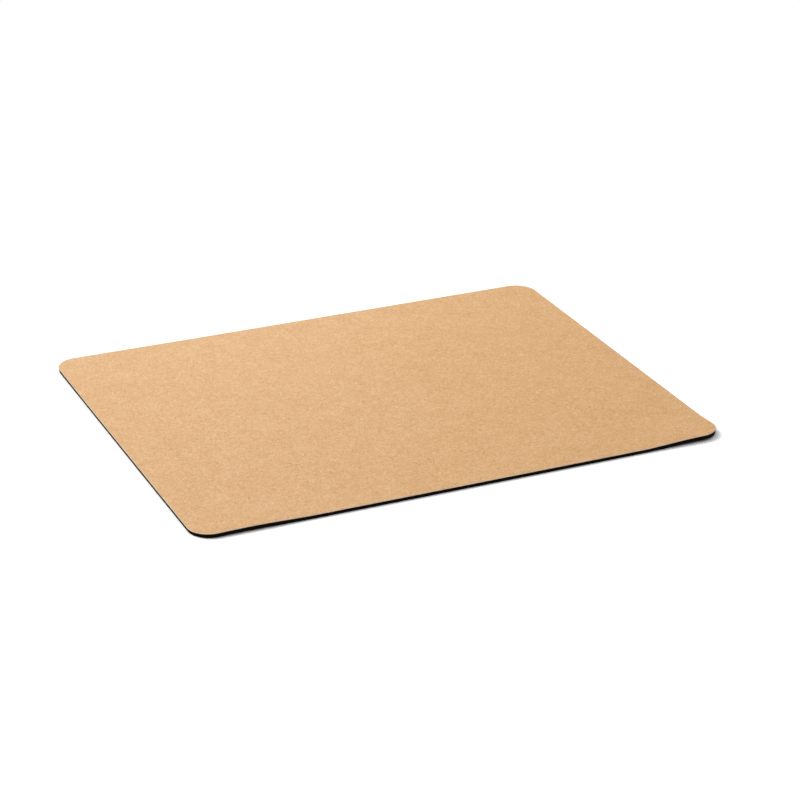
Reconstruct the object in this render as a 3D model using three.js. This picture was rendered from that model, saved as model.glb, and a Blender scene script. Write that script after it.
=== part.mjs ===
// Flat desk pad for a pointing device: a sheet of kraft board glued onto a sheet of black foam rubber,
// cut to a rounded rectangle in one stroke.
// Millimetres, +Z up. The origin is the middle of the underside, and X runs along the long side.

import * as THREE from 'three';

// Driving dimensions: the outline, seen from above
const PAD_LENGTH = 240;
const PAD_WIDTH = 190;
const CORNER_RADIUS = 10;

// Driving dimensions: the three layers, from the underside up
const BASE_THICKNESS = 1.6;
const FILM_THICKNESS = 0.1;
const COVER_THICKNESS = 0.3;

// Driving dimensions: the cut edge
const FLANK_LEAN = 0.3; // the foam gives under the blade, so its flank leans in by this at the underside
const HEEL_RADIUS = 0.25; // soft lower edge of the foam
const FILM_SETBACK = 0.15; // the glue stops this far inside the cut edge
const COVER_ROLL = 0.2; // the blade presses the board's upper edge round by this much

// Fineness of the curved stretches
const CORNER_STEPS = 16;
const EDGE_STEPS = 4;

// Finishes
const KRAFT = { color: 0xddb182, roughness: 0.85, metalness: 0 };
const GLUE = { color: 0x2a2018, roughness: 0.5, metalness: 0 };
const FOAM = { color: 0x120d0b, roughness: 0.9, metalness: 0 };

// Levels where the layers meet
const BASE_TOP = BASE_THICKNESS;
const FILM_TOP = BASE_TOP + FILM_THICKNESS;
const COVER_TOP = FILM_TOP + COVER_THICKNESS;

const QUARTER_TURN = Math.PI / 2;
const CORNER_SIDES = [[1, 1], [-1, 1], [-1, -1], [1, -1]];

// The pad's outline drawn in by an inset, anticlockwise from the upper end of the right side.
function outline(inset) {
  const reachX = PAD_LENGTH / 2 - CORNER_RADIUS;
  const reachY = PAD_WIDTH / 2 - CORNER_RADIUS;
  const radius = CORNER_RADIUS - inset;
  return CORNER_SIDES.flatMap(([sideX, sideY], corner) => {
    const start = corner * QUARTER_TURN;
    const arc = new THREE.EllipseCurve(
      sideX * reachX, sideY * reachY, radius, radius, start, start + QUARTER_TURN,
    );
    return arc.getPoints(CORNER_STEPS);
  });
}

// A closed sheet whose edge runs through the given levels, lowest first. Each has a height and an inset.
function sheetGeometry(levels) {
  const rings = levels.map(({ inset }) => outline(inset));
  const ringSize = rings[0].length;
  const lastRing = rings.length - 1;
  const positions = rings.flatMap((ring, level) => ring.flatMap(({ x, y }) => [x, y, levels[level].height]));
  const triangles = [];
  for (let level = 0; level < lastRing; level += 1) {
    for (let here = 0; here < ringSize; here += 1) {
      const next = (here + 1) % ringSize;
      const lower = level * ringSize;
      const upper = lower + ringSize;
      triangles.push(lower + here, lower + next, upper + next);
      triangles.push(lower + here, upper + next, upper + here);
    }
  }
  const topStart = lastRing * ringSize;
  THREE.ShapeUtils.triangulateShape(rings[0], []).forEach(([a, b, c]) => triangles.push(c, b, a));
  THREE.ShapeUtils.triangulateShape(rings[lastRing], []).forEach(([a, b, c]) => {
    triangles.push(topStart + a, topStart + b, topStart + c);
  });
  const geometry = new THREE.BufferGeometry();
  geometry.setAttribute('position', new THREE.Float32BufferAttribute(positions, 3));
  geometry.setIndex(triangles);
  geometry.computeVertexNormals();
  return geometry;
}

// Angles from 0 to the given one, in even steps.
function anglesUpTo(last) {
  return Array.from({ length: EDGE_STEPS + 1 }, (_, step) => (step / EDGE_STEPS) * last);
}

function pieceMesh(name, levels, finish) {
  const mesh = new THREE.Mesh(sheetGeometry(levels), new THREE.MeshStandardMaterial(finish));
  mesh.name = name;
  return mesh;
}

// Foam sheet: flat underside, rounded heel, then a flank that leans out to the full outline.
function foamBase() {
  const flankAngle = Math.atan2(BASE_THICKNESS, FLANK_LEAN);
  const heelStart = FLANK_LEAN + HEEL_RADIUS * Math.tan(flankAngle / 2);
  const heel = anglesUpTo(flankAngle).map((angle) => ({
    height: HEEL_RADIUS * (1 - Math.cos(angle)),
    inset: heelStart - HEEL_RADIUS * Math.sin(angle),
  }));
  return pieceMesh('foam_base', [...heel, { height: BASE_TOP, inset: 0 }], FOAM);
}

// Glue between the foam and the board.
function adhesiveFilm() {
  const levels = [BASE_TOP, FILM_TOP].map((height) => ({ height, inset: FILM_SETBACK }));
  return pieceMesh('adhesive_film', levels, GLUE);
}

// Board sheet: square lower edge, rolled upper edge, flat working face.
function kraftCover() {
  const roll = anglesUpTo(QUARTER_TURN).map((angle) => ({
    height: COVER_TOP - COVER_ROLL * (1 - Math.sin(angle)),
    inset: COVER_ROLL * (1 - Math.cos(angle)),
  }));
  return pieceMesh('kraft_cover', [{ height: FILM_TOP, inset: 0 }, ...roll], KRAFT);
}

const mousePad = new THREE.Group();
mousePad.name = 'mouse_pad';
mousePad.add(foamBase(), adhesiveFilm(), kraftCover());

export default mousePad;
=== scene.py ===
"""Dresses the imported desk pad: kraft board laminated to black foam rubber, in soft studio light."""
import math
from typing import NamedTuple

import bpy
import numpy as np
from mathutils import Matrix, Vector, noise


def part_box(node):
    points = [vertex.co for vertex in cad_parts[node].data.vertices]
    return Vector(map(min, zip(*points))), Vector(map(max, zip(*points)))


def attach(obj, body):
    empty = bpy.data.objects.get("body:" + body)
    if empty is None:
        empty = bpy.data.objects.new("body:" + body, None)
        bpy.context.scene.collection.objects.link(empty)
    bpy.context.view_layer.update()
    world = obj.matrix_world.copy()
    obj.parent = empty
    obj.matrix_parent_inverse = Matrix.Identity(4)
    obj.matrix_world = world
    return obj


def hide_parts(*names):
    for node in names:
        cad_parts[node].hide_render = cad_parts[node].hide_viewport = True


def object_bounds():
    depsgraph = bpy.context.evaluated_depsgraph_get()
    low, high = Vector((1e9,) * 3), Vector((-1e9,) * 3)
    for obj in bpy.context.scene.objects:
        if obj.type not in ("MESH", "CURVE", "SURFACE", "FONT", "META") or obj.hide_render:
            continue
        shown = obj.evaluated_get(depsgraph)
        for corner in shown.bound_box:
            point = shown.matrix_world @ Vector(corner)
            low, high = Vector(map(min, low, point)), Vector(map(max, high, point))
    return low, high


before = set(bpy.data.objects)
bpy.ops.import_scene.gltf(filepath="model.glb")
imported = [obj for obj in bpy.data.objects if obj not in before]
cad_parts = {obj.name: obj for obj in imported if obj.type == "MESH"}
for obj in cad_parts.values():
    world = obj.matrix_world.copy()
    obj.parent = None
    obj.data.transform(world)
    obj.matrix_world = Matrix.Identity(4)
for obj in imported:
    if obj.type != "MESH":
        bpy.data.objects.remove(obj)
cad_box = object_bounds()

MM = 0.001

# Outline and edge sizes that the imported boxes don't give, as the solids have them
CORNER_RADIUS = 10 * MM
FLANK_LEAN = 0.3 * MM
HEEL_RADIUS = 0.25 * MM
COVER_ROLL = 0.2 * MM

# How the sheet lies: places on its edge, in shares of half a side, that curl a little off the table.
# Each has its lift and the share of half a side over which the lift dies out
EDGE_LIFTS = {
    (-0.81, -1): (0.60 * MM, 0.24),
    (0.93, -1): (1.15 * MM, 0.27),
    (-1, 1): (0.20 * MM, 0.60),
}
FOAM_FOLLOWS = 0.70  # share of the lift that the soft foam's underside takes part in

# Unevenness of the cut edges
BOARD_NICK = 0.03 * MM
FOAM_WANDER = 0.06 * MM
NICK_LENGTH = 1.2 * MM
WANDER_LENGTH = 5 * MM

# Fineness of the meshes
FACE_PITCH = 2 * MM
CORNER_CELLS = 8
EDGE_SPLIT = 4
RIM_INSET = 1 * MM
ARC_STEPS = 4
FLANK_STEPS = 6
SHARP_ANGLE = math.radians(50)  # faces that meet at a larger angle show a crease


class Layout(NamedTuple):
    """Places in a sheet's texture: an island (u0, v0, u1, v1) for each face, and the edge's strips."""

    shown: tuple
    hidden: tuple
    strips_top: float


# Texture layouts
KRAFT_LAYOUT = Layout(shown=(0, 0.16, 1, 1), hidden=(0, 0.12, 1, 0.15), strips_top=0.11)
GLUE_LAYOUT = Layout(shown=(0, 0.55, 1, 1), hidden=(0, 0.3, 1, 0.5), strips_top=0.25)
FOAM_LAYOUT = Layout(shown=(0, 0.26, 1, 1), hidden=(0, 0.22, 1, 0.25), strips_top=0.21)
SIDES = 4
STRIP_FILL = 0.9  # share of its height that a strip uses, so that the strips stay apart

# The photograph's camera, fitted to the pad's four straight sides in a frame of 800 by 800 pixels
CAMERA_AZIMUTH = math.radians(-24.083)
CAMERA_ELEVATION = math.radians(24.338)
CAMERA_ROLL = math.radians(0.119)
CAMERA_DISTANCE = 1127.97 * MM
CAMERA_AIM = (7.12 * MM, -7.20 * MM)  # where its axis meets the top face
SENSOR_WIDTH = 36.0  # in millimetres, as Blender counts lenses
FOCAL_PIXELS = 2565.9
IMAGE_PIXELS = 800

# Colours, linear
KRAFT_ROSE = (0.714, 0.400, 0.193)
KRAFT_OCHRE = (0.694, 0.420, 0.185)
KRAFT_PALE = (0.89, 0.64, 0.37)
KRAFT_DARK = (0.50, 0.235, 0.080)
KRAFT_SHIVE = (0.28, 0.14, 0.055)
CUT_PALE = (0.91, 0.78, 0.60)
CUT_DARK = (0.77, 0.61, 0.44)
GLUE = (0.023, 0.014, 0.009)
GLUE_THICK = (0.040, 0.025, 0.015)
FOAM = (0.0061, 0.0035, 0.0023)
# painted shade: the foam's colour darkened in the pits of its open cells
FOAM_PORE_SHADE = (0.0022, 0.0013, 0.0009)
FOAM_RUBBED = (0.0112, 0.0065, 0.0043)
# painted shade: the skin darkened in the grooves between the dimples
SKIN_GROOVE_SHADE = (0.0040, 0.0030, 0.0026)
SKIN_RAISED = (0.0170, 0.0135, 0.0120)
SKIN_DUST = (0.0320, 0.0275, 0.0245)


class Fibres(NamedTuple):
    """A layer of short straight fibres, one in each cell of a mosaic. Sizes are in millimetres."""

    cell: float
    length: float
    width: float
    seed: int
    colour: tuple
    most: float  # the largest share of its colour that a fibre shows


# Textures. Their sizes are in millimetres on the object, and a relief is the depth of a bump
NOISE_MIDDLE = 0.5
NOISE_SPAN = (0.3, 0.7)  # nearly all values of a noise lie between these

# Kraft face: pulp, fibres, and shives, which are the few coarse dark ones
PULP_BEND_SIZE = 2.5
PULP_BEND = 1.2  # how far the grain of the pulp is drawn out of line
PULP_GRAINS = ((0.45, 1.15), (0.95, 0.60), (2.2, 0.34), (6.0, 0.24))  # size and weight of each
PULP_TINT_SIZE = 3.0
PULP_TONES = (0.25, 0.75)
PULP_ROUGHNESS = (0.62, 0.50)  # at those two tones
FIBRE_LAYERS = (
    Fibres(cell=1.0, length=1.3, width=0.06, seed=1, colour=KRAFT_PALE, most=0.65),
    Fibres(cell=1.5, length=1.8, width=0.07, seed=2, colour=KRAFT_PALE, most=0.65),
    Fibres(cell=1.2, length=1.4, width=0.06, seed=3, colour=KRAFT_DARK, most=0.60),
    Fibres(cell=2.0, length=2.0, width=0.08, seed=4, colour=KRAFT_DARK, most=0.60),
)
FIBRE_SHIFT = (17.3, 9.1, 0)  # moves each layer's mosaic by its seed, so that no two agree
FIBRE_HEIGHT = 0.3  # beside the pulp, whose tones are its heights
SHIVES = Fibres(cell=6.0, length=0.7, width=0.14, seed=5, colour=KRAFT_SHIVE, most=0.7)
SHIVE_DRAWS = (0.5, 0.9)  # a cell's random draw shows no shive at the first and a full one at the last
KRAFT_RELIEF = 0.02 * MM

# Cut edge of the board
CUT_GRAIN_SIZE = 0.25
CUT_STAIN_SIZE = 1.5
CUT_STAIN_SPAN = (0.5, 0.8)
CUT_STAIN_MOST = 0.3
CUT_RELIEF = 0.03 * MM

# Glue
GLUE_PATCH_SIZE = 1.0
GLUE_RELIEF = 0.02 * MM

# Cut flank of the foam. The spans of a pore run from its middle outwards, in pores
PORE_SIZE = 0.28
# where painted shade darkens a pore, from its middle outwards
PORE_SHADE_SPAN = (0.1, 0.5)
PORE_DEPTH_SPAN = (0.05, 0.6)
RUB_SIZE = 3.0
RUB_SPAN = (0.45, 0.75)
RUB_MOST = 0.5
FLANK_RELIEF = 0.06 * MM

# Skin of the foam's underside
DIMPLE_PITCH = 3.0
DIMPLE_SPAN = (-0.3, 0.9)  # of two crossed waves, from the groove to the top of a dimple
SKIN_GRAIN_SIZE = 0.4
SKIN_GRAIN_HEIGHT = 0.25  # beside a dimple's 1
DUST_SIZE = 22.0
DUST_SPAN = (0.42, 0.70)
DUST_MOST = (0.15, 0.6)  # in a groove and on a dimple
SKIN_ROUGHNESS = (0.7, 0.9)  # clean and dusty
SKIN_RELIEF = 0.15 * MM

# Studio, in metres: levels of the floor and the surroundings, and soft boxes
FLOOR_REACH = 4.0
FLOOR_SHADED = (0.28, 0.42)  # between these distances from the pad's middle the floor turns plain white
FLOOR_AS_LIGHT = 0.80  # to rays that only carry light
FLOOR_AS_SEEN = 1.30  # to rays that see it, so bright that only its shadows show
WORLD_AS_LIGHT = 0.10
WORLD_AS_SEEN = 1.0
SOFT_BOXES = {
    "key_back_left": {"place": (-0.90, 0.75, 1.60), "size": 1.0, "watts": 19.2},
    "fill_left": {"place": (-1.70, 0.20, 0.90), "size": 1.0, "watts": 4.0},
    "fill_front": {"place": (-0.30, -1.60, 1.10), "size": 1.2, "watts": 6.0},
    "overhead": {"place": (0.0, 0.0, 2.0), "size": 2.0, "watts": 15.4},
    "sheen_behind": {"place": (0.05, 0.46, 0.23), "size": 0.3, "watts": 0.64},
}


# Shapes

class Plan:
    """The rounded rectangle seen from above, as a grid whose outer cells bend round the corners."""

    def __init__(self, low, high):
        self.low, self.high = np.array(low[:2]), np.array(high[:2])
        self.centre = (self.low + self.high) / 2
        self.half = (self.high - self.low) / 2
        self.core = self.half - CORNER_RADIUS
        self.cells = [max(1, round(2 * core / FACE_PITCH)) for core in self.core]

    def stations(self, axis, split):
        """Along one axis, the place in the core and the share of the corner radius past it."""
        rise = np.arange(1, CORNER_CELLS * split + 1) / (CORNER_CELLS * split)
        middle = np.linspace(-1, 1, self.cells[axis] * split + 1)
        place = np.concatenate([-np.ones_like(rise), middle, np.ones_like(rise)]) * self.core[axis]
        share = np.concatenate([-rise[::-1], np.zeros_like(middle), rise])
        return place, share

    def points(self, inset, split=1):
        """X and Y of the whole grid for an outline drawn in by inset, as two arrays indexed [x, y].

        In each corner the square of the two shares is bent onto a quarter of a disc.
        """
        (place_x, share_x), (place_y, share_y) = (self.stations(axis, split) for axis in (0, 1))
        share_x, share_y = np.meshgrid(share_x, share_y, indexing="ij")
        radius = CORNER_RADIUS - inset
        x = place_x[:, None] + radius * share_x * np.sqrt(1 - share_y**2 / 2)
        y = place_y[None, :] + radius * share_y * np.sqrt(1 - share_x**2 / 2)
        return x + self.centre[0], y + self.centre[1]

    def loop(self, grid):
        """A grid array's outer values, anticlockwise from the front left corner."""
        return np.concatenate([grid[:-1, 0], grid[-1, :-1], grid[:0:-1, -1], grid[0, :0:-1]])

    def outline(self, inset):
        """Points of the outline at the fine pitch of the edges, and the outward direction at each."""
        x, y = (self.loop(a) for a in self.points(inset, EDGE_SPLIT))
        inner_x, inner_y = (self.loop(a) for a in self.points(inset + CORNER_RADIUS / 2, EDGE_SPLIT))
        out = np.stack([x - inner_x, y - inner_y], 1)
        return np.stack([x, y], 1), out / np.linalg.norm(out, axis=1)[:, None]


def lift(x, y, plan):
    """How far the sheet stands off the table at a point."""
    total = np.zeros_like(x)
    share_x = (x - plan.centre[0]) / plan.half[0]
    share_y = (y - plan.centre[1]) / plan.half[1]
    for (place_x, place_y), (height, reach) in EDGE_LIFTS.items():
        away = np.hypot(share_x - place_x, share_y - place_y) / reach
        total += height * np.clip(1 - away**2, 0, None) ** 2
    return total


def wander(points, height, length):
    """Smooth unevenness from 0 to 1 along an edge, with bumps of about the given length."""
    places = (Vector((x / length, y / length, height / length)) for x, y in points)
    return np.array([noise.noise(place) / 2 + 0.5 for place in places])


class Face(NamedTuple):
    """A flat face of a sheet: how far it is drawn in, its height, its material and its texture island."""

    inset: float
    z: float
    kind: str
    island: tuple


class SheetMesh:
    """One layer of the laminate: a gridded face above and below, and fine rings round its edge."""

    def __init__(self, name, plan):
        self.name, self.plan = name, plan
        self.points, self.faces, self.kinds, self.maps = [], [], [], []

    def add_points(self, x, y, z):
        first = sum(len(p) for p in self.points)
        self.points.append(np.stack([np.ravel(a) for a in np.broadcast_arrays(x, y, z)], 1))
        return first + np.arange(np.size(x)).reshape(np.shape(x))

    def add_face(self, corners, kind, places):
        self.faces.append([int(c) for c in corners])
        self.kinds.append(kind)
        self.maps.extend(places)

    def add_rings(self, profile, depth, length):
        """Rings along a profile of insets and heights, with dips as deep and as long as given."""
        rings = []
        for inset, z in profile:
            points, out = self.plan.outline(inset)
            dips = depth * wander(points, z, length)
            x, y = (points - out * dips[:, None]).T
            rings.append(self.add_points(x, y, z))
        return rings

    def add_grid(self, face, upwards):
        """A gridded face, mapped flat onto its island of the texture. Returns its outer loop of points."""
        x, y = self.plan.points(face.inset)
        ids = self.add_points(x, y, face.z)
        place = island_places(x, y, self.plan, face.island)
        for i in range(ids.shape[0] - 1):
            for j in range(ids.shape[1] - 1):
                cell = [(i, j), (i + 1, j), (i + 1, j + 1), (i, j + 1)]
                cell = cell if upwards else cell[::-1]
                self.add_face([ids[c] for c in cell], face.kind, [place[c] for c in cell])
        return self.plan.loop(ids)

    def add_rim(self, coarse, fine, face, upwards):
        """Triangles between a grid's outer loop and the finer ring round it, in the same plane."""
        flat = np.concatenate(self.points)
        place = island_places(flat[:, 0], flat[:, 1], self.plan, face.island)
        middle = EDGE_SPLIT // 2
        for i, here in enumerate(coarse):
            after = coarse[(i + 1) % len(coarse)]
            run = [fine[(i * EDGE_SPLIT + k) % len(fine)] for k in range(EDGE_SPLIT + 1)]
            fan = [(here, run[k], run[k + 1]) for k in range(middle)]
            fan += [(here, run[middle], after)]
            fan += [(after, run[k], run[k + 1]) for k in range(middle, EDGE_SPLIT)]
            for corners in fan:
                corners = corners if upwards else corners[::-1]
                self.add_face(corners, face.kind, [place[c] for c in corners])

    def add_wall(self, rings, kinds, strips):
        """Faces between edge rings, highest first, mapped onto one strip of the texture for each side."""
        count = len(rings[0])
        side_of, along = strip_places(self.plan)
        for level, (upper, lower) in enumerate(zip(rings, rings[1:])):
            down = [level / (len(rings) - 1), (level + 1) / (len(rings) - 1)]
            for i in range(count):
                j = (i + 1) % count
                bottom, top = strips[side_of[i]]
                v = [top + (bottom - top) * d for d in down]
                u = along[i]
                self.add_face(
                    [upper[i], lower[i], lower[j], upper[j]],
                    kinds[level],
                    [(u[0], v[0]), (u[0], v[1]), (u[1], v[1]), (u[1], v[0])],
                )

    def close(self, rings, kinds, upper, lower, strips_top):
        """Closes the sheet: upper and lower faces, joined to the edge rings, which run highest first."""
        top = self.add_grid(upper, True)
        bottom = self.add_grid(lower, False)
        self.add_rim(top, rings[0], upper, True)
        self.add_wall(rings, kinds, stacked_strips(strips_top))
        self.add_rim(bottom, rings[-1], lower, False)

    def build(self, materials, follows=1.0):
        """The finished object with its materials by kind of face, lifted as the sheet lies.

        The upper face takes the whole lift, and the lower one the share that it follows.
        """
        flat = np.concatenate(self.points)
        rise = (flat[:, 2] - flat[:, 2].min()) / np.ptp(flat[:, 2])
        flat[:, 2] += lift(flat[:, 0], flat[:, 1], self.plan) * (follows + (1 - follows) * rise)
        mesh = bpy.data.meshes.new(self.name)
        mesh.from_pydata(flat.tolist(), [], self.faces)
        uv = mesh.uv_layers.new(name="OFBake")
        uv.data.foreach_set("uv", np.array(self.maps, np.float32).ravel())
        names = list(materials)
        for name in names:
            mesh.materials.append(materials[name])
        mesh.polygons.foreach_set("material_index", [names.index(k) for k in self.kinds])
        mesh.polygons.foreach_set("use_smooth", [True] * len(self.faces))
        mesh.set_sharp_from_angle(angle=SHARP_ANGLE)
        mesh.validate()
        made = bpy.data.objects.new(self.name, mesh)
        bpy.context.scene.collection.objects.link(made)
        return made


def island_places(x, y, plan, island):
    """Texture places of points on a face: the plan stretched over the island (u0, v0, u1, v1)."""
    u0, v0, u1, v1 = island
    u = u0 + (u1 - u0) * (np.asarray(x) - plan.low[0]) / (plan.high[0] - plan.low[0])
    v = v0 + (v1 - v0) * (np.asarray(y) - plan.low[1]) / (plan.high[1] - plan.low[1])
    return np.stack([u, v], -1)


def strip_places(plan):
    """The side that each fine column of the edge is on, front first, and its stretch along that side."""
    counts = [EDGE_SPLIT * (cells + 2 * CORNER_CELLS) for cells in plan.cells] * 2
    side_of, along = [], []
    for side, count in enumerate(counts):
        side_of += [side] * count
        along += [(k / count, (k + 1) / count) for k in range(count)]
    return side_of, along


def stacked_strips(top):
    """One texture strip for each side, stacked up to the given height with a small space between them."""
    tall = top / SIDES
    return [(k * tall, (k + STRIP_FILL) * tall) for k in range(SIDES)]


def arc(last):
    """Angles from 0 to the last one, in even steps."""
    return [last * k / ARC_STEPS for k in range(ARC_STEPS + 1)]


def kraft_cover(materials):
    """Board sheet with a rolled upper edge and a slightly ragged cut."""
    low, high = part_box("kraft_cover")
    sheet = SheetMesh("kraft_board_face", Plan(low, high))
    roll = [
        (COVER_ROLL * (1 - math.sin(a)), high[2] - COVER_ROLL * (1 - math.cos(a)))
        for a in arc(math.pi / 2)
    ]
    cut = [(0, (high[2] - COVER_ROLL + low[2]) / 2), (0, low[2])]
    rings = sheet.add_rings(roll + cut, BOARD_NICK, NICK_LENGTH)
    kinds = ["face"] + ["cut"] * (len(rings) - 2)
    upper = Face(RIM_INSET, high[2], "face", KRAFT_LAYOUT.shown)
    lower = Face(RIM_INSET, low[2], "cut", KRAFT_LAYOUT.hidden)
    sheet.close(rings, kinds, upper, lower, KRAFT_LAYOUT.strips_top)
    return sheet.build(materials)


def adhesive_film(materials):
    """Glue line between the board and the foam, just behind the cut edge."""
    low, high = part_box("adhesive_film")
    cover_low, cover_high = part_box("kraft_cover")
    setback = low[0] - cover_low[0]
    sheet = SheetMesh("laminating_adhesive", Plan(cover_low, cover_high))
    rings = sheet.add_rings([(setback, high[2]), (setback, low[2])], BOARD_NICK, WANDER_LENGTH)
    upper = Face(RIM_INSET, high[2], "glue", GLUE_LAYOUT.shown)
    lower = Face(RIM_INSET, low[2], "glue", GLUE_LAYOUT.hidden)
    sheet.close(rings, ["glue"], upper, lower, GLUE_LAYOUT.strips_top)
    return sheet.build(materials)


def foam_base(materials):
    """Foam sheet with a leaning, slightly wandering flank and a soft heel."""
    low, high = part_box("foam_base")
    sheet = SheetMesh("foam_rubber_base", Plan(low, high))
    flank_angle = math.atan2(high[2] - low[2], FLANK_LEAN)
    heel_start = FLANK_LEAN + HEEL_RADIUS * math.tan(flank_angle / 2)
    heel = [
        (heel_start - HEEL_RADIUS * math.sin(a), low[2] + HEEL_RADIUS * (1 - math.cos(a)))
        for a in arc(flank_angle)
    ]
    lean, heel_top = heel[-1]
    flank = [
        (lean * (1 - k / FLANK_STEPS), heel_top + (high[2] - heel_top) * k / FLANK_STEPS)
        for k in range(1, FLANK_STEPS + 1)
    ]
    rings = sheet.add_rings(reversed(heel + flank), FOAM_WANDER, WANDER_LENGTH)
    kinds = ["flank"] * (len(rings) - 1)
    upper = Face(RIM_INSET, high[2], "flank", FOAM_LAYOUT.hidden)
    lower = Face(heel_start + RIM_INSET, low[2], "underside", FOAM_LAYOUT.shown)
    sheet.close(rings, kinds, upper, lower, FOAM_LAYOUT.strips_top)
    return sheet.build(materials, FOAM_FOLLOWS)


# Materials

class Nodes:
    """A node tree, with short ways to add nodes to it."""

    def __init__(self, tree):
        self.tree = tree

    def put(self, socket, value):
        """Links another node's output to a socket, or sets the socket to a constant."""
        if isinstance(value, bpy.types.NodeSocket):
            self.tree.links.new(value, socket)
        else:
            socket.default_value = value

    def node(self, kind, inputs=(), **settings):
        made = self.tree.nodes.new(kind)
        for name, value in settings.items():
            setattr(made, name, value)
        for name, value in dict(inputs).items():
            self.put(made.inputs[name], value)
        return made

    def maths(self, operation, a, b=0.0):
        return self.node("ShaderNodeMath", {0: a, 1: b}, operation=operation).outputs[0]

    def place(self):
        """The place on the object, in metres."""
        return self.node("ShaderNodeTexCoord").outputs["Object"]

    def between(self, value, start, end, first, last):
        """A straight change from first, where the value is start, to last, where it is end."""
        ranged = self.node(
            "ShaderNodeMapRange",
            {"Value": value, "From Min": start, "From Max": end, "To Min": first, "To Max": last},
        )
        return ranged.outputs["Result"]

    def seen_directly(self):
        """1 for rays from the camera, a mirror or glass, and 0 for those that only carry light."""
        rays = self.node("ShaderNodeLightPath").outputs
        seen = self.maths("MAXIMUM", rays["Is Camera Ray"], rays["Is Glossy Ray"])
        return self.maths("MAXIMUM", seen, rays["Is Transmission Ray"])

    def two_levels(self, as_light, as_seen):
        """One level for rays that carry light and another for rays that see."""
        return self.between(self.seen_directly(), 0.0, 1.0, as_light, as_seen)


class Shader(Nodes):
    """A node material that ends in one Principled shader."""

    def __init__(self, name, roughness, specular):
        self.material = bpy.data.materials.new(name)
        self.material.use_nodes = True
        super().__init__(self.material.node_tree)
        self.principled = self.tree.nodes["Principled BSDF"]
        self.principled.inputs["Roughness"].default_value = roughness
        self.principled.inputs["Specular IOR Level"].default_value = specular

    def scaled(self, vector, factor):
        return self.node("ShaderNodeVectorMath", {0: vector, "Scale": factor}, operation="SCALE").outputs[0]

    def moved(self, point, by):
        return self.node("ShaderNodeVectorMath", {0: point, 1: by}, operation="ADD").outputs[0]

    def point(self):
        """The place on the object, in millimetres."""
        return self.scaled(self.place(), 1 / MM)

    def cloud(self, point, size, detail=2.0, roughness=0.5):
        """Noise from 0 to 1 with patches of about the given size."""
        clouds = self.node(
            "ShaderNodeTexNoise",
            {"Vector": point, "Scale": 1 / size, "Detail": detail, "Roughness": roughness},
        )
        return clouds.outputs["Fac"]

    def bent(self, point, size, reach):
        """The point drawn out of line by a smooth noise of the given size."""
        bend = self.node("ShaderNodeTexNoise", {"Vector": point, "Scale": 1 / size, "Detail": 1.0})
        return self.moved(point, self.scaled(bend.outputs["Color"], reach))

    def step(self, value, start, end):
        """A smooth change from 0 at start to 1 at end."""
        ranged = self.node(
            "ShaderNodeMapRange",
            {"Value": value, "From Min": start, "From Max": end},
            interpolation_type="SMOOTHSTEP",
        )
        return ranged.outputs["Result"]

    def ramp(self, value, stops):
        """Colours at places from 0 to 1, blended in between."""
        made = self.node("ShaderNodeValToRGB", {"Fac": value})
        elements = made.color_ramp.elements
        while len(elements) < len(stops):
            elements.new(1.0)
        for element, (place, colour) in zip(elements, stops):
            element.position = place
            element.color = (*colour, 1)
        return made.outputs["Color"]

    def mix(self, share, a, b):
        """Colour a turning into colour b."""
        mixer = self.node("ShaderNodeMix", data_type="RGBA")
        self.put(mixer.inputs[0], share)
        # Colours are the node's inputs 6 and 7 and output 2. Its other sockets are for numbers and vectors
        for socket, colour in ((mixer.inputs[6], a), (mixer.inputs[7], b)):
            self.put(socket, (*colour, 1) if isinstance(colour, tuple) else colour)
        return mixer.outputs[2]

    def fibres(self, point, layer):
        """Fibres at all angles. Returns their mask and a random draw for each."""
        place = self.moved(point, [layer.seed * shift for shift in FIBRE_SHIFT])
        mosaic = self.node(
            "ShaderNodeTexVoronoi", {"Vector": place, "Scale": 1 / layer.cell}, voronoi_dimensions="2D"
        )
        draw = self.node("ShaderNodeSeparateColor", {"Color": mosaic.outputs["Color"]}).outputs
        offset = self.node(
            "ShaderNodeVectorMath", {0: place, 1: mosaic.outputs["Position"]}, operation="SUBTRACT"
        )
        turned = self.node(
            "ShaderNodeVectorRotate",
            {"Vector": offset.outputs[0], "Angle": self.maths("MULTIPLY", draw[0], 2 * math.pi)},
            rotation_type="Z_AXIS",
        )
        local = self.node("ShaderNodeSeparateXYZ", {0: turned.outputs[0]}).outputs
        along = self.step(self.maths("ABSOLUTE", local[0]), layer.length / 2, layer.length / 4)
        across = self.step(self.maths("ABSOLUTE", local[1]), layer.width, 0)
        return self.maths("MULTIPLY", along, across), draw[1]

    def finish(self, colour, height, relief):
        """Colour and bump onto the shader. Relief is the bump's depth."""
        self.put(self.principled.inputs["Base Color"], colour)
        bump = self.node("ShaderNodeBump", {"Height": height, "Strength": 1.0, "Distance": relief})
        self.put(self.principled.inputs["Normal"], bump.outputs[0])
        return self.material


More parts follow.
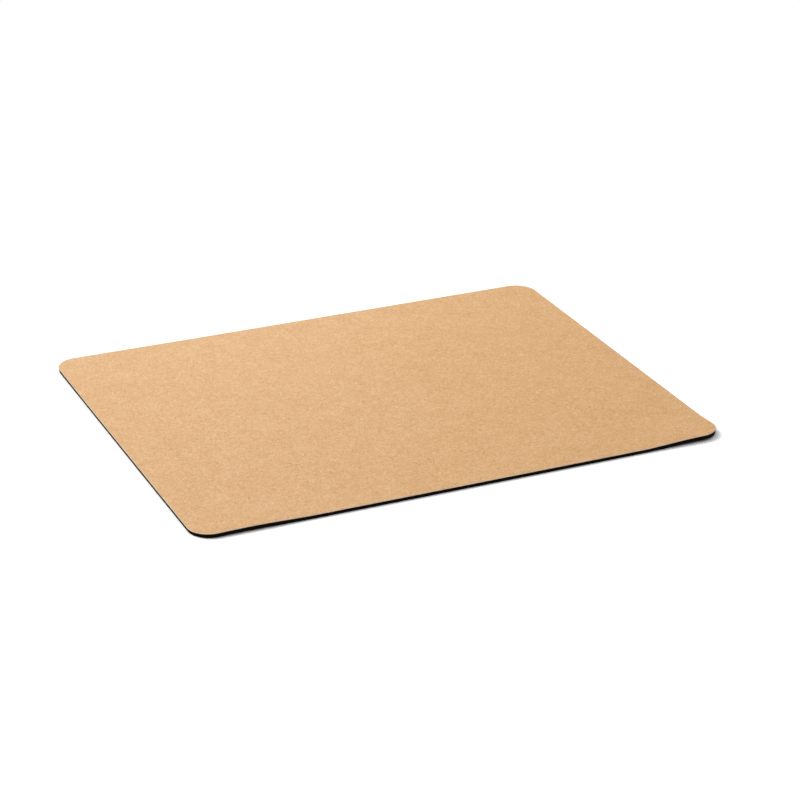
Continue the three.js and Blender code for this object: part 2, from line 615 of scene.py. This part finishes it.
def kraft_face():
    """Unbleached board: cloudy, grainy pulp, pale and dark fibres at all angles, and a few shives."""
    s = Shader("kraft_face", roughness=0.56, specular=0.15)
    point = s.bent(s.point(), PULP_BEND_SIZE, PULP_BEND)
    tone = NOISE_MIDDLE
    for size, weight in PULP_GRAINS:
        grain = s.maths("SUBTRACT", s.cloud(point, size), NOISE_MIDDLE)
        tone = s.maths("ADD", tone, s.maths("MULTIPLY", grain, weight))
    pulps = [
        s.ramp(tone, ((0.0, KRAFT_DARK), (NOISE_MIDDLE, tint), (1.0, KRAFT_PALE)))
        for tint in (KRAFT_OCHRE, KRAFT_ROSE)
    ]
    tints = s.cloud(point, PULP_TINT_SIZE, detail=3.0)
    colour = s.mix(s.between(tints, *NOISE_SPAN, 0.0, 1.0), *pulps)
    height = tone
    for layer in FIBRE_LAYERS:
        mask, draw = s.fibres(point, layer)
        share = s.maths("MULTIPLY", mask, s.maths("MULTIPLY", draw, layer.most))
        colour = s.mix(share, colour, layer.colour)
        height = s.maths("ADD", height, s.maths("MULTIPLY", mask, FIBRE_HEIGHT))
    mask, draw = s.fibres(point, SHIVES)
    shive = s.maths("MULTIPLY", mask, s.step(draw, *SHIVE_DRAWS))
    colour = s.mix(s.maths("MULTIPLY", shive, SHIVES.most), colour, SHIVES.colour)
    s.put(s.principled.inputs["Roughness"], s.between(tone, *PULP_TONES, *PULP_ROUGHNESS))
    return s.finish(colour, height, KRAFT_RELIEF)


def kraft_cut():
    """The board's cut edge: paler, rough and fibrous."""
    s = Shader("kraft_cut", roughness=0.9, specular=0.2)
    point = s.point()
    grain = s.cloud(point, CUT_GRAIN_SIZE, detail=3.0, roughness=0.7)
    stain = s.step(s.cloud(point, CUT_STAIN_SIZE), *CUT_STAIN_SPAN)
    colour = s.mix(s.step(grain, *NOISE_SPAN), CUT_DARK, CUT_PALE)
    colour = s.mix(s.maths("MULTIPLY", stain, CUT_STAIN_MOST), colour, KRAFT_DARK)
    return s.finish(colour, grain, CUT_RELIEF)


def adhesive():
    """Dark dried glue with a dull shine."""
    s = Shader("dried_adhesive", roughness=0.45, specular=0.3)
    patch = s.cloud(s.point(), GLUE_PATCH_SIZE)
    colour = s.mix(s.step(patch, *NOISE_SPAN), GLUE, GLUE_THICK)
    return s.finish(colour, patch, GLUE_RELIEF)


def foam_flank():
    """Cut foam: black, with painted shade in its open cells, which show as small dark pits."""
    s = Shader("foam_cut_flank", roughness=0.95, specular=0.05)
    point = s.point()
    pores = s.node("ShaderNodeTexVoronoi", {"Vector": point, "Scale": 1 / PORE_SIZE}).outputs["Distance"]
    rub = s.step(s.cloud(point, RUB_SIZE, detail=3.0), *RUB_SPAN)
    # painted shade in the pits of the pores, deepest at their middles
    colour = s.mix(s.step(pores, *PORE_SHADE_SPAN), FOAM_PORE_SHADE, FOAM)
    colour = s.mix(s.maths("MULTIPLY", rub, RUB_MOST), colour, FOAM_RUBBED)
    return s.finish(colour, s.step(pores, *PORE_DEPTH_SPAN), FLANK_RELIEF)


def foam_underside():
    """Anti-slip skin of the foam: rows of small raised dimples with painted shade in the grooves between
    them, and faintly dusty.
    """
    s = Shader("foam_underside", roughness=0.8, specular=0.3)
    point = s.point()
    axes = s.node("ShaderNodeSeparateXYZ", {0: point}).outputs
    waves = [s.maths("SINE", s.maths("MULTIPLY", axes[k], 2 * math.pi / DIMPLE_PITCH)) for k in (0, 1)]
    dimple = s.step(s.maths("MULTIPLY", *waves), *DIMPLE_SPAN)
    grain = s.cloud(point, SKIN_GRAIN_SIZE, detail=3.0)
    dust = s.cloud(point, DUST_SIZE, detail=4.0, roughness=0.6)
    # painted shade in the grooves, the skin's plain colour on the dimples
    colour = s.mix(dimple, SKIN_GROOVE_SHADE, SKIN_RAISED)
    dusty = s.maths("MULTIPLY", s.step(dust, *DUST_SPAN), s.between(dimple, 0.0, 1.0, *DUST_MOST))
    colour = s.mix(dusty, colour, SKIN_DUST)
    s.put(s.principled.inputs["Roughness"], s.between(dust, *NOISE_SPAN, *SKIN_ROUGHNESS))
    height = s.maths("ADD", dimple, s.maths("MULTIPLY", grain, SKIN_GRAIN_HEIGHT))
    return s.finish(colour, height, SKIN_RELIEF)


# Studio

def white_table():
    """Keeps the soft shadow round the pad, and is seen as plain white farther off."""
    material = bpy.data.materials.new("white_table")
    material.use_nodes = True
    material.node_tree.nodes.clear()
    n = Nodes(material.node_tree)
    shaded = n.node("ShaderNodeBsdfDiffuse", {"Color": n.two_levels(FLOOR_AS_LIGHT, FLOOR_AS_SEEN)})
    plain = n.node("ShaderNodeEmission", {"Strength": n.seen_directly()})
    distance = n.node("ShaderNodeVectorMath", {0: n.place()}, operation="LENGTH").outputs["Value"]
    far_off = n.between(distance, *FLOOR_SHADED, 0.0, 1.0)
    blend = n.node("ShaderNodeMixShader", {0: far_off, 1: shaded.outputs[0], 2: plain.outputs[0]})
    n.node("ShaderNodeOutputMaterial", {"Surface": blend.outputs[0]})
    return material


def studio_floor():
    """White table top under the pad."""
    mesh = bpy.data.meshes.new("table_top")
    corners = [(x * FLOOR_REACH, y * FLOOR_REACH, 0) for x, y in ((-1, -1), (1, -1), (1, 1), (-1, 1))]
    mesh.from_pydata(corners, [], [(0, 1, 2, 3)])
    mesh.materials.append(white_table())
    floor = bpy.data.objects.new("table_top", mesh)
    bpy.context.scene.collection.objects.link(floor)


def studio_world():
    """Even white surroundings: white to the eye, softer as a light."""
    world = bpy.data.worlds.new("studio")
    bpy.context.scene.world = world
    world.use_nodes = True
    n = Nodes(world.node_tree)
    background = world.node_tree.nodes["Background"]
    n.put(background.inputs["Color"], (1, 1, 1, 1))
    n.put(background.inputs["Strength"], n.two_levels(WORLD_AS_LIGHT, WORLD_AS_SEEN))


def soft_light(name, place, size, watts):
    """A square soft box that faces the pad."""
    data = bpy.data.lights.new(name, "AREA")
    data.shape = "SQUARE"
    data.size = size
    data.energy = watts
    lamp = bpy.data.objects.new(name, data)
    lamp.location = place
    lamp.rotation_euler = (-Vector(place)).to_track_quat("-Z", "Y").to_euler()
    lamp.visible_camera = False
    bpy.context.scene.collection.objects.link(lamp)


def photo_camera():
    """The camera at the photograph's viewing angle."""
    turn, rise = CAMERA_AZIMUTH, CAMERA_ELEVATION
    back = Vector((math.sin(turn) * math.cos(rise), -math.cos(turn) * math.cos(rise), math.sin(rise)))
    right = Vector((math.cos(turn), math.sin(turn), 0))
    up = back.cross(right)
    axes = Matrix((right, up, back)).transposed() @ Matrix.Rotation(CAMERA_ROLL, 3, "Z")
    aim = Vector((*CAMERA_AIM, cad_box[1][2]))
    data = bpy.data.cameras.new("photo_camera")
    data.sensor_width = SENSOR_WIDTH
    data.lens = FOCAL_PIXELS / IMAGE_PIXELS * SENSOR_WIDTH
    camera = bpy.data.objects.new("photo_camera", data)
    camera.matrix_world = Matrix.Translation(aim + back * CAMERA_DISTANCE) @ axes.to_4x4()
    bpy.context.scene.collection.objects.link(camera)
    bpy.context.scene.camera = camera


photo_camera()
bpy.context.scene.view_settings.view_transform = "Standard"
studio_world()
for box_name, box in SOFT_BOXES.items():
    soft_light(box_name, **box)
studio_floor()

pieces = {
    "kraft_cover": (kraft_cover({"face": kraft_face(), "cut": kraft_cut()}), "kraft_board"),
    "adhesive_film": (adhesive_film({"glue": adhesive()}), "laminating_adhesive"),
    "foam_base": (foam_base({"flank": foam_flank(), "underside": foam_underside()}), "foam_rubber"),
}
for node_name, (piece, slot_name) in pieces.items():
    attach(piece, "root")
    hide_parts(node_name)
